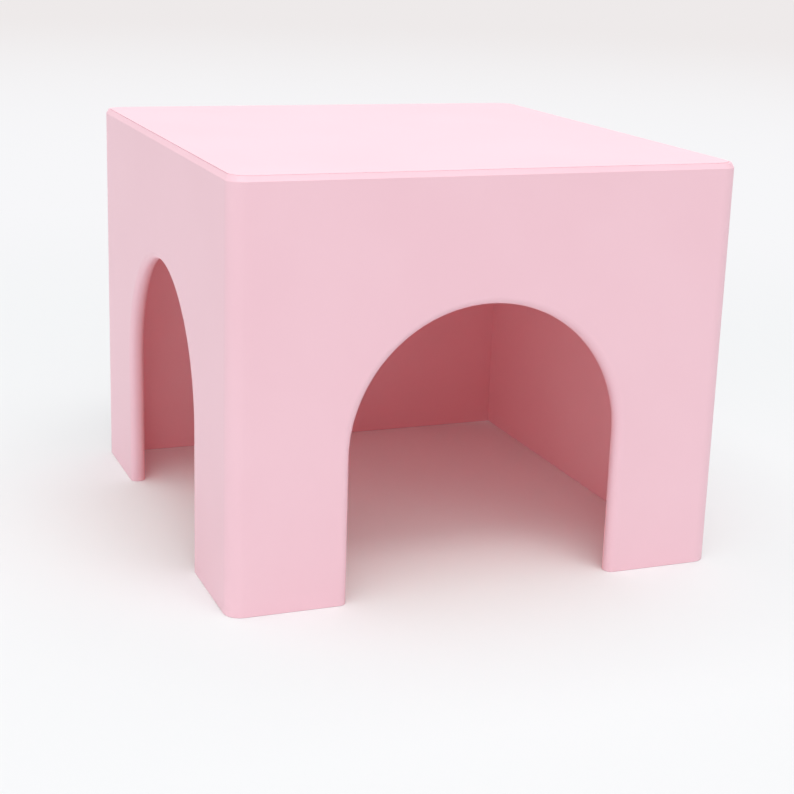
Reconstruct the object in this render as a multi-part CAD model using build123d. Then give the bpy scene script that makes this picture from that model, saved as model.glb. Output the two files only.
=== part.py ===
from build123d import *
import os

# Hide for small animals: four painted boards glued and dowelled into an open-bottomed box,
# with a roof board that drops into a rebate round the tops of the walls.
# Millimetres. +Z up, front wall towards -Y, left wall towards -X, origin at floor level
# in the middle of the footprint.

# Overall
body_width = 250.0  # across the front wall, X
body_depth = 260.0  # front to rear, Y
body_height = 201.0  # floor to the top face of the roof, Z

# Boards
wall_board = 8.0
roof_board = 8.0

# Doorways, one in the front wall and one in the left wall, each centred in its wall
door_width = 135.5
door_height = 139.0  # floor to crown, the head is a half circle
door_flat = 0.8  # left flat between the rounded edges of a doorway

# Outer edges
corner_radius = 8.0  # upright corners of the walls
rim_drop = 2.4  # steep band round the top of the walls, its height
rim_inset = 1.4  # and how far it leans in
lip_land = 0.2  # flat left on the lip inside that band
foot_round = 0.4  # edges that meet the floor

# Roof seat
roof_clearance = 0.25  # gap between the lip and the roof, all round
roof_proud = 0.25  # the roof's top face stands this far above the lip
seat_corner = 9.0  # plan radius in the corners of the rebate
roof_edge_break = 0.1  # sanded top edge of the roof

# Corner dowels
dowel_diameter = 4.0
dowel_length = 20.0
dowel_end_chamfer = 0.5
dowel_rows = 3  # dowels in one corner joint
dowel_margin = 25.0  # from the floor, and from the roof's underside, to the nearest dowel
dowel_skin = 4.0  # board left between a dowel's end and the outer face of the front or rear wall
dowel_glue_gap = 0.05  # round the dowel
dowel_end_gap = 0.3  # beyond each end of the dowel

pick_tolerance = 0.01  # for finding edges by place

half_width = body_width / 2
half_depth = body_depth / 2
lip = rim_inset + lip_land
wall_height = body_height - roof_proud
ledge_height = body_height - roof_board
door_radius = door_width / 2
door_spring = door_height - door_radius
door_round = (wall_board - door_flat) / 2
side_length = body_depth - 2 * wall_board


def upright_block(width, depth, low, high, radius=0.0):
    block = Pos(0, 0, (low + high) / 2) * Box(width, depth, high - low)
    if radius > 0:
        block = fillet(block.edges().filter_by(Axis.Z), radius)
    return block


def arch_cutter():
    # Arch outline in the XZ plane, from below the floor to the crown, run past both faces of a wall
    shaft_height = door_spring + wall_board
    shaft = Pos(0, door_spring - shaft_height / 2) * Rectangle(door_width, shaft_height)
    head = Pos(0, door_spring) * Circle(door_radius)
    return extrude(Plane.XZ * (shaft + head), amount=2 * wall_board, both=True)


def door_outline(shape, face_axis, face_level, along_wall):
    # Edges of one doorway on one face of its wall
    def in_doorway(edge):
        middle = edge.center()
        below_crown = middle.Z < door_height + pick_tolerance
        return below_crown and abs(along_wall(middle)) < door_radius + pick_tolerance

    low = face_level - pick_tolerance
    high = face_level + pick_tolerance
    return shape.edges().filter_by_position(face_axis, low, high).filter_by(in_doorway)


def wall_ring():
    # The four walls in one, before they are parted at the joints
    ring = upright_block(body_width, body_depth, 0, wall_height, corner_radius)
    top_face = ring.faces().sort_by(Axis.Z)[-1]
    ring = chamfer(top_face.edges(), rim_inset, rim_drop, reference=top_face)
    inner_width = body_width - 2 * wall_board
    inner_depth = body_depth - 2 * wall_board
    ring -= upright_block(inner_width, inner_depth, -wall_board, wall_height + wall_board)
    seat_width = body_width - 2 * lip
    seat_depth = body_depth - 2 * lip
    seat_top = wall_height + wall_board
    ring -= upright_block(seat_width, seat_depth, ledge_height, seat_top, seat_corner)
    ring -= Pos(0, -half_depth, 0) * arch_cutter()
    ring -= Pos(-half_width, 0, 0) * Rot(0, 0, 90) * arch_cutter()

    def across_front(point):
        return point.X

    def across_left(point):
        return point.Y

    outlines = [
        (Axis.Y, -half_depth, across_front),
        (Axis.Y, -half_depth + wall_board, across_front),
        (Axis.X, -half_width, across_left),
        (Axis.X, -half_width + wall_board, across_left),
    ]
    for face_axis, face_level, along_wall in outlines:
        ring = fillet(door_outline(ring, face_axis, face_level, along_wall), door_round)
    foot_edges = ring.edges().filter_by_position(Axis.Z, -pick_tolerance, pick_tolerance)
    return fillet(foot_edges, foot_round)


def dowel_places(x_side, y_side):
    # The front and rear walls cover the ends of the side walls, so the dowels lie along Y
    seat_end = half_depth - dowel_skin
    x_place = x_side * (half_width - wall_board / 2)
    y_place = y_side * (seat_end - dowel_length / 2)
    spacing = (ledge_height - 2 * dowel_margin) / (dowel_rows - 1)
    heights = [dowel_margin + row * spacing for row in range(dowel_rows)]
    return [Pos(x_place, y_place, height) * Rot(90, 0, 0) for height in heights]


def dowel():
    pin = Cylinder(dowel_diameter / 2, dowel_length)
    return chamfer(pin.edges().filter_by(GeomType.CIRCLE), dowel_end_chamfer)


def dowel_hole():
    return Cylinder(dowel_diameter / 2 + dowel_glue_gap, dowel_length + 2 * dowel_end_gap)


def roof():
    inset = lip + roof_clearance
    width = body_width - 2 * inset
    depth = body_depth - 2 * inset
    board = upright_block(width, depth, ledge_height, body_height, seat_corner - roof_clearance)
    return chamfer(board.faces().sort_by(Axis.Z)[-1].edges(), roof_edge_break)


def save(name, solids):
    shape = solids[0] if len(solids) == 1 else Compound(children=solids)
    export_step(shape, f"parts/{name}.step")


os.makedirs("parts", exist_ok=True)

corners = {
    "front_left": (-1, -1),
    "front_right": (1, -1),
    "rear_left": (-1, 1),
    "rear_right": (1, 1),
}
ring = wall_ring()
for x_side, y_side in corners.values():
    for place in dowel_places(x_side, y_side):
        ring -= place * dowel_hole()

end_middle = half_depth - wall_board / 2
side_middle = half_width - wall_board / 2
end_zone = Pos(0, 0, wall_height / 2) * Box(body_width, wall_board, wall_height)
side_zone = Pos(0, 0, wall_height / 2) * Box(wall_board, side_length, wall_height)
zones = {
    "front_panel": Pos(0, -end_middle, 0) * end_zone,
    "rear_panel": Pos(0, end_middle, 0) * end_zone,
    "left_panel": Pos(-side_middle, 0, 0) * side_zone,
    "right_panel": Pos(side_middle, 0, 0) * side_zone,
}
for name, zone in zones.items():
    save(name, (ring & zone).solids())

save("roof_panel", [roof()])

for corner, (x_side, y_side) in corners.items():
    pins = [place * dowel() for place in dowel_places(x_side, y_side)]
    save(f"{corner}_dowels", pins)
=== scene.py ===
import math

import bmesh
import bpy
from mathutils import Matrix, Vector


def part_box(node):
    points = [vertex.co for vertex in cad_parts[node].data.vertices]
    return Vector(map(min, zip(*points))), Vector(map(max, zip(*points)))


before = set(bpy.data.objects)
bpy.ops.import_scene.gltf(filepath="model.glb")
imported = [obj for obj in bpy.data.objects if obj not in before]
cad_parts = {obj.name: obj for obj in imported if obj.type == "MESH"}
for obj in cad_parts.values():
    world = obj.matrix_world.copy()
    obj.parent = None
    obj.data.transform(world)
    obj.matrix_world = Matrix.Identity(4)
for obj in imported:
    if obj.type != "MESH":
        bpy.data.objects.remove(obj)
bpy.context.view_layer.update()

print("hide loaded:", ", ".join(sorted(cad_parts)))

noiseMiddle = 0.5  # a noise texture swings about this


class Wire:
    # one output socket; sums on it add Math nodes to its tree
    def __init__(self, tree, socket=None):
        self.tree = tree
        self.socket = socket

    def node(self, kind, settings=None, sockets=None, out=0):
        made = self.tree.nodes.new("ShaderNode" + kind)
        for name, value in (settings or {}).items():  # settings first, they decide which sockets exist
            setattr(made, name, value)
        for name, value in (sockets or {}).items():
            if isinstance(value, Wire):
                self.tree.links.new(value.socket, made.inputs[name])
            else:
                made.inputs[name].default_value = value
        return Wire(self.tree, made.outputs[out] if len(made.outputs) else None)

    def at(self, name):  # another output of the same node
        return Wire(self.tree, self.socket.node.outputs[name])

    def sum(self, operation, first, second):
        return self.node("Math", {"operation": operation}, {0: first, 1: second})

    def __add__(self, other):
        return self.sum("ADD", self, other)

    def __radd__(self, other):
        return self.sum("ADD", other, self)

    def __sub__(self, other):
        return self.sum("SUBTRACT", self, other)

    def __rsub__(self, other):
        return self.sum("SUBTRACT", other, self)

    def __mul__(self, other):
        return self.sum("MULTIPLY", self, other)

    def __rmul__(self, other):
        return self.sum("MULTIPLY", other, self)

    def __abs__(self):
        return self.node("Math", {"operation": "ABSOLUTE"}, {0: self})

    def ease(self, low, high):  # 0 at low, 1 at high, soft in between
        settings = {"interpolation_type": "SMOOTHSTEP"}
        return self.node("MapRange", settings, {"Value": self, "From Min": low, "From Max": high})

    def tint(self, first, second):  # colour that goes from first to second as this goes from 0 to 1
        settings = {"data_type": "RGBA"}
        return self.node("Mix", settings, {0: self, 6: first, 7: second}, out=2)


def rgb(red, green, blue):
    return (red, green, blue, 1.0)


def newFinish(name):
    material = bpy.data.materials.new(name)
    material.use_nodes = True
    material.node_tree.nodes.clear()
    return material, Wire(material.node_tree)


def closeFinish(board, shader):
    board.node("OutputMaterial", sockets={"Surface": shader})


def wear(node, material):  # a CAD node keeps its mesh and only takes a finish
    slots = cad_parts[node].data.materials
    slots.clear()
    slots.append(material)


# satin lacquer on the boards; the faces inside the box take a deeper, redder pink that is painted shade,
# standing in for the dim interreflected light in there
lacquer = {
    "outer": rgb(0.885, 0.564, 0.642),
    "outerPale": rgb(0.897, 0.580, 0.658),
    # painted shade: darker, redder pink for the faces inside the box, where little light gets in
    "shadedInner": rgb(0.903, 0.491, 0.529),
    "shadedInnerPale": rgb(0.913, 0.507, 0.545),
    "shadeEdge": 0.0065,  # how far the outside colour runs round an edge into the box before the painted inside shade takes over
    "cloudScale": 16.0,  # broad drift of the sprayed coat
    "cloudDetail": 3.0,
    "cloudRange": (0.3, 0.7),
    "peelScale": 420.0,  # orange peel, about 2 mm
    "peelDetail": 1.0,
    "peelHeight": 0.6,
    "stippleScale": 2600.0,  # fine satin tooth
    "stippleDetail": 2.0,
    "stippleHeight": 0.12,
    "nibScale": 55.0,  # dust nibs, about 18 mm apart
    "nibRange": (0.035, 0.0),  # a bump only at the very middle of a cell
    "nibHeight": 0.9,
    "bumpStrength": 0.10,
    "bumpDepth": 0.0004,
    "roughness": 0.46,
    "roughByStipple": 0.10,
    "roughByCloud": 0.08,
    "roughInside": 0.06,
    "ior": 1.5,
    "coat": 0.20,
    "coatRoughness": 0.36,
}


def makeLacquer():
    material, board = newFinish("pinkLacquer")
    place = board.node("TexCoord", out="Object")
    across = board.node("SeparateXYZ", sockets={"Vector": place})
    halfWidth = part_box("right_panel")[0].x  # the inner faces, where the boards have them
    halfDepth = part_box("rear_panel")[0].y
    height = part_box("roof_panel")[0].z
    edge = lacquer["shadeEdge"]
    # mask of the faces inside the box; they get the painted shade colour below and a little more roughness
    inX = abs(across).ease(halfWidth + edge, halfWidth)
    inY = abs(across.at("Y")).ease(halfDepth + edge, halfDepth)
    inZ = across.at("Z").ease(height + edge, height)
    inside = inX * inY * inZ

    def noise(name):
        sockets = {"Vector": place, "Scale": lacquer[name + "Scale"], "Detail": lacquer[name + "Detail"]}
        return board.node("TexNoise", {}, sockets)

    cloud = noise("cloud")
    peel = noise("peel")
    stipple = noise("stipple")
    speck = board.node("TexVoronoi", {}, {"Vector": place, "Scale": lacquer["nibScale"]}, out="Distance")
    nib = speck.ease(*lacquer["nibRange"])

    drift = cloud.ease(*lacquer["cloudRange"])
    outer = drift.tint(lacquer["outer"], lacquer["outerPale"])
    # painted shade: this colour darkens and reddens the faces inside the box
    shadedInner = drift.tint(lacquer["shadedInner"], lacquer["shadedInnerPale"])
    colour = inside.tint(outer, shadedInner)

    byStipple = (stipple - noiseMiddle) * lacquer["roughByStipple"]
    byCloud = (cloud - noiseMiddle) * lacquer["roughByCloud"]
    roughness = lacquer["roughness"] + byStipple + byCloud + inside * lacquer["roughInside"]
    skin = peel * lacquer["peelHeight"] + stipple * lacquer["stippleHeight"]
    relief = skin + nib * lacquer["nibHeight"]
    normal = board.node("Bump", {}, {
        "Strength": lacquer["bumpStrength"],
        "Distance": lacquer["bumpDepth"],
        "Height": relief,
    })
    shader = board.node("BsdfPrincipled", {}, {
        "Base Color": colour,
        "Roughness": roughness,
        "Normal": normal,
        "IOR": lacquer["ior"],
        "Coat Weight": lacquer["coat"],
        "Coat Roughness": lacquer["coatRoughness"],
    })
    closeFinish(board, shader)
    return material


# bare dowels, hidden in the corner joints
beech = {
    "pale": rgb(0.66, 0.46, 0.29),
    "dark": rgb(0.48, 0.30, 0.17),
    "fleck": rgb(0.36, 0.20, 0.10),
    "stretch": (1.0, 0.06, 1.0),  # the grain runs along Y
    "grainScale": 900.0,
    "grainDetail": 4.0,
    "grainTwist": 0.6,
    "grainRange": (0.3, 0.7),
    "fleckScale": 700.0,
    "fleckRange": (0.16, 0.05),
    "fleckShare": 0.7,
    "fleckDent": 0.5,
    "bumpStrength": 0.25,
    "bumpDepth": 0.0003,
    "roughness": 0.62,
    "roughByGrain": 0.2,
}


def makeBeech():
    material, board = newFinish("bareBeech")
    place = board.node("TexCoord", out="Object")
    along = board.node("Mapping", {}, {"Vector": place, "Scale": beech["stretch"]})
    grain = board.node("TexNoise", {}, {
        "Vector": along,
        "Scale": beech["grainScale"],
        "Detail": beech["grainDetail"],
        "Distortion": beech["grainTwist"],
    })
    rays = board.node("TexVoronoi", {}, {"Vector": along, "Scale": beech["fleckScale"]}, out="Distance")
    flecks = rays.ease(*beech["fleckRange"]) * beech["fleckShare"]
    wood = grain.ease(*beech["grainRange"]).tint(beech["pale"], beech["dark"])
    normal = board.node("Bump", {}, {
        "Strength": beech["bumpStrength"],
        "Distance": beech["bumpDepth"],
        "Height": grain - flecks * beech["fleckDent"],
    })
    shader = board.node("BsdfPrincipled", {}, {
        "Base Color": flecks.tint(wood, beech["fleck"]),
        "Roughness": beech["roughness"] + (grain - noiseMiddle) * beech["roughByGrain"],
        "Normal": normal,
    })
    closeFinish(board, shader)
    return material


pinkLacquer = makeLacquer()
bareBeech = makeBeech()
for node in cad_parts:
    wear(node, bareBeech if node.endswith("_dowels") else pinkLacquer)
print("finishes on:", pinkLacquer.name, bareBeech.name)


# pale floor, which runs out into a plain backdrop; as the camera sees it, it carries a painted pool of
# light, whitest under the hide and greyer further out, and close round the hide it partly glows, painted
# light that fills in the hide's shadow
floorSheet = {
    "radius": 14.0,
    "segments": 96,
    "drop": 0.00005,  # just clear of the hide's feet
    # painted pool of light: the floor as the camera sees it is whiter near the hide and greyer further out
    "near": rgb(0.905, 0.930, 0.920),
    "open": rgb(0.741, 0.765, 0.768),
    "turn": (0.078, 0.235),  # how far out the near white starts to turn, and has turned
    "bounce": rgb(0.93, 0.93, 0.93),  # what it sends back to the hide
    "backdrop": rgb(0.93, 0.93, 0.947),
    "horizon": rgb(0.855, 0.823, 0.823),
    "fadeNear": (0.14, 0.28),  # the first share of the way from lit floor to the glowing backdrop colour, close to the hide: painted light that fills half the hide's shadow on the floor and glows onto the hide
    "nearShare": 0.5,
    "fade": (0.34, 0.95),  # and the rest of the way
    "fadeFar": (1.10, 4.40),  # from backdrop to horizon
    "toothScale": 900.0,
    "toothDetail": 2.0,
    "bumpStrength": 0.05,
    "bumpDepth": 0.0003,
    "roughness": 0.85,
    "specular": 0.2,
}
shownAsWritten = 1.0  # strength at which a backdrop renders in its own colour


def straightRays(board):  # 1 for the rays that show the backdrop as it is
    path = board.node("LightPath", out="Is Camera Ray")
    return path + path.at("Is Glossy Ray") + path.at("Is Transmission Ray")


def makeFloor():
    mesh = bpy.data.meshes.new("floorSheet")
    shape = bmesh.new()
    segments = floorSheet["segments"]
    bmesh.ops.create_circle(shape, cap_ends=True, segments=segments, radius=floorSheet["radius"])
    shape.to_mesh(mesh)
    shape.free()
    floor = bpy.data.objects.new("floorSheet", mesh)
    floor.location.z = -floorSheet["drop"]
    bpy.context.scene.collection.objects.link(floor)

    material, board = newFinish("paleFloor")
    place = board.node("TexCoord", out="Object")
    distance = board.node("VectorMath", {"operation": "LENGTH"}, {0: place}, out="Value")
    tooth = board.node("TexNoise", {}, {
        "Vector": place,
        "Scale": floorSheet["toothScale"],
        "Detail": floorSheet["toothDetail"],
    })
    normal = board.node("Bump", {}, {
        "Strength": floorSheet["bumpStrength"],
        "Distance": floorSheet["bumpDepth"],
        "Height": tooth,
    })
    # painted pool of light, seen only by camera and glossy rays
    pooledShown = distance.ease(*floorSheet["turn"]).tint(floorSheet["near"], floorSheet["open"])
    lit = board.node("BsdfPrincipled", {}, {
        "Base Color": straightRays(board).tint(floorSheet["bounce"], pooledShown),
        "Roughness": floorSheet["roughness"],
        "Normal": normal,
        "Specular IOR Level": floorSheet["specular"],
    })
    plain = distance.ease(*floorSheet["fadeFar"]).tint(floorSheet["backdrop"], floorSheet["horizon"])
    backdrop = board.node("Emission", {}, {"Color": plain, "Strength": shownAsWritten})
    # painted light: near the hide the floor partly glows with the backdrop colour, which fills in the
    # hide's shadow and lights the hide from below
    glowShare = distance.ease(*floorSheet["fadeNear"]) * floorSheet["nearShare"]
    glowShare = glowShare + distance.ease(*floorSheet["fade"]) * (1 - floorSheet["nearShare"])
    closeFinish(board, board.node("MixShader", {}, {0: glowShare, 1: lit, 2: backdrop}))
    mesh.materials.append(material)


makeFloor()

# soft studio light: a wide bank overhead, one high in front, two off the near corner, one low at the left;
# the front and corner banks stay out of the gloss, or the roof glares to white when seen from behind
studio = {
    "roomColour": rgb(1.0, 1.0, 1.0),
    "room": 0.12,
    "bounces": 12,  # in a pale box the light goes round many times
    "aim": (0.0, 0.0, 0.1),
    "boxes": {
        "overheadBank": {"place": (0.0, 0.0, 4.0), "size": (5.0, 5.0), "watts": 195.0, "gloss": True},
        "frontBank": {"place": (0.0, -3.0, 3.4), "size": (3.6, 3.6), "watts": 76.0, "gloss": False},
        "cornerBank": {"place": (-2.4, -2.4, 2.4), "size": (3.0, 3.0), "watts": 8.0, "gloss": False},
        "cornerLow": {"place": (-2.7, -2.7, 1.3), "size": (4.0, 2.2), "watts": 14.0, "gloss": False},
        "leftStrip": {"place": (-1.6, 0.2, 0.34), "size": (1.6, 0.6), "watts": 3.2, "gloss": True},
    },
}


def lookAt(place, aim):
    return (Vector(aim) - Vector(place)).to_track_quat("-Z", "Y")


def makeLight():
    world = bpy.data.worlds.new("softRoom")
    bpy.context.scene.world = world
    world.use_nodes = True
    world.node_tree.nodes.clear()
    board = Wire(world.node_tree)
    room = board.node("Background", {}, {"Color": studio["roomColour"], "Strength": studio["room"]})
    seen = board.node("Background", {}, {"Color": floorSheet["horizon"], "Strength": shownAsWritten})
    shader = board.node("MixShader", {}, {0: straightRays(board), 1: room, 2: seen})
    board.node("OutputWorld", sockets={"Surface": shader})
    bpy.context.scene.cycles.diffuse_bounces = studio["bounces"]
    for name, box in studio["boxes"].items():
        lamp = bpy.data.lights.new(name, "AREA")
        lamp.shape = "RECTANGLE"
        lamp.size, lamp.size_y = box["size"]
        lamp.energy = box["watts"]
        holder = bpy.data.objects.new(name, lamp)
        holder.location = box["place"]
        holder.rotation_euler = lookAt(box["place"], studio["aim"]).to_euler()
        holder.visible_camera = False
        holder.visible_glossy = box["gloss"]
        bpy.context.scene.collection.objects.link(holder)


makeLight()
print("stage and light set,", len(studio["boxes"]), "boxes")

# the photograph's view, solved from the edges of the box
shot = {
    "place": (-0.31202, -0.79759, 0.30651),
    "aim": (0.00168, -0.00839, 0.07425),
    "roll": 1.8067,  # degrees
    "sensor": 36.0,
    "lens": 75.01,
    "shiftY": -0.03,
    "clip": (0.01, 60.0),
}


def makeCamera():
    data = bpy.data.cameras.new("photoView")
    data.sensor_width = shot["sensor"]
    data.lens = shot["lens"]
    data.shift_y = shot["shiftY"]
    data.clip_start, data.clip_end = shot["clip"]
    camera = bpy.data.objects.new("photoView", data)
    turn = lookAt(shot["place"], shot["aim"]).to_matrix().to_4x4()
    roll = Matrix.Rotation(math.radians(shot["roll"]), 4, "Z")
    camera.matrix_world = Matrix.Translation(shot["place"]) @ turn @ roll
    bpy.context.scene.collection.objects.link(camera)
    bpy.context.scene.camera = camera


makeCamera()
bpy.context.scene.view_settings.view_transform = "Standard"
